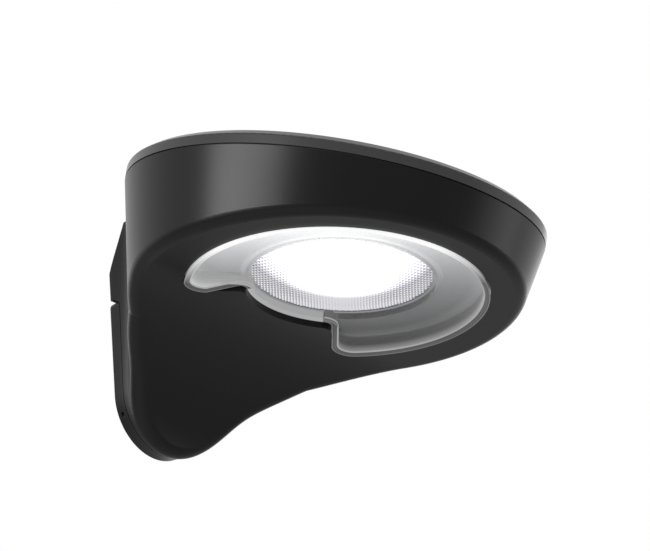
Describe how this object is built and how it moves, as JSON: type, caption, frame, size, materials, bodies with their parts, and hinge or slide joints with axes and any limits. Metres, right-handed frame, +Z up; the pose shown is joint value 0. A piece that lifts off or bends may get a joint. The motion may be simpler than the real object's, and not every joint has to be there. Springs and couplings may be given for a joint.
{
  "type": "solar fence light",
  "caption": "Round black solar fence light with a sloping top, a downward lens and dome, and a neck that hooks on a wall bracket.",
  "frame": {"origin": "middle of the bracket's back face, on the wall", "axes": "+Y into the wall, -Y to the front, +Z up, X across the light"},
  "size_m": [0.105, 0.114, 0.0619],
  "materials": {
    "shell_plastic": "satin moulded black",
    "cover_plastic": "satin moulded black",
    "seal_rubber": "soft matt",
    "screw_steel": "zinc plated",
    "panel_backing": "matt laminate",
    "solar_silicon": "dark blue silicon",
    "panel_resin": "clear textured resin",
    "clear_lens": "clear polycarbonate",
    "dome_plastic": "frosted prismatic diffuser, lit",
    "reflector_grey": "satin silver grey",
    "board_aluminium": "white solder mask on aluminium",
    "led_phosphor": "phosphor gel",
    "contact_metal": "nickel plated",
    "board_resin": "green solder mask",
    "chip_resin": "moulded epoxy",
    "capacitor_can": "drawn can",
    "cell_sleeve": "shrink sleeve",
    "holder_plastic": "moulded black",
    "wire_sheath": "insulation",
    "button_rubber": "soft matt"
  },
  "bodies": {
    "bracket": {"wall_bracket": "shell_plastic"},
    "lamp": {"body_shell": "shell_plastic", "top_cover": "cover_plastic", "cover_seal": "seal_rubber", "cover_screws": "screw_steel", "panel_board": "panel_backing", "solar_cells": "solar_silicon", "panel_window": "panel_resin", "crescent_lens": "clear_lens", "lens_seal": "seal_rubber", "dome_lens": "dome_plastic", "reflector": "reflector_grey", "reflector_screws": "screw_steel", "led_board": "board_aluminium", "leds": "led_phosphor", "led_board_screws": "screw_steel", "led_link_pins": "contact_metal", "control_board": "board_resin", "control_chips": "chip_resin", "capacitors": "capacitor_can", "control_screws": "screw_steel", "battery_cell": "cell_sleeve", "battery_holder": "holder_plastic", "battery_contacts": "contact_metal", "battery_wires": "wire_sheath", "panel_wires": "wire_sheath", "switch_wires": "wire_sheath", "switch_body": "chip_resin"},
    "button": {"power_button": "button_rubber"}
  },
  "joints": [
    {"name": "lamp_lift", "type": "slide", "parent": "bracket", "child": "lamp", "axis": [0, 0, 1], "range_m": [0, 0.007]},
    {"name": "button_press", "type": "slide", "parent": "lamp", "child": "button", "axis": [0, -1, 0], "range_m": [0, 0.0008], "stiffness_N_per_m": 1500}
  ]
}
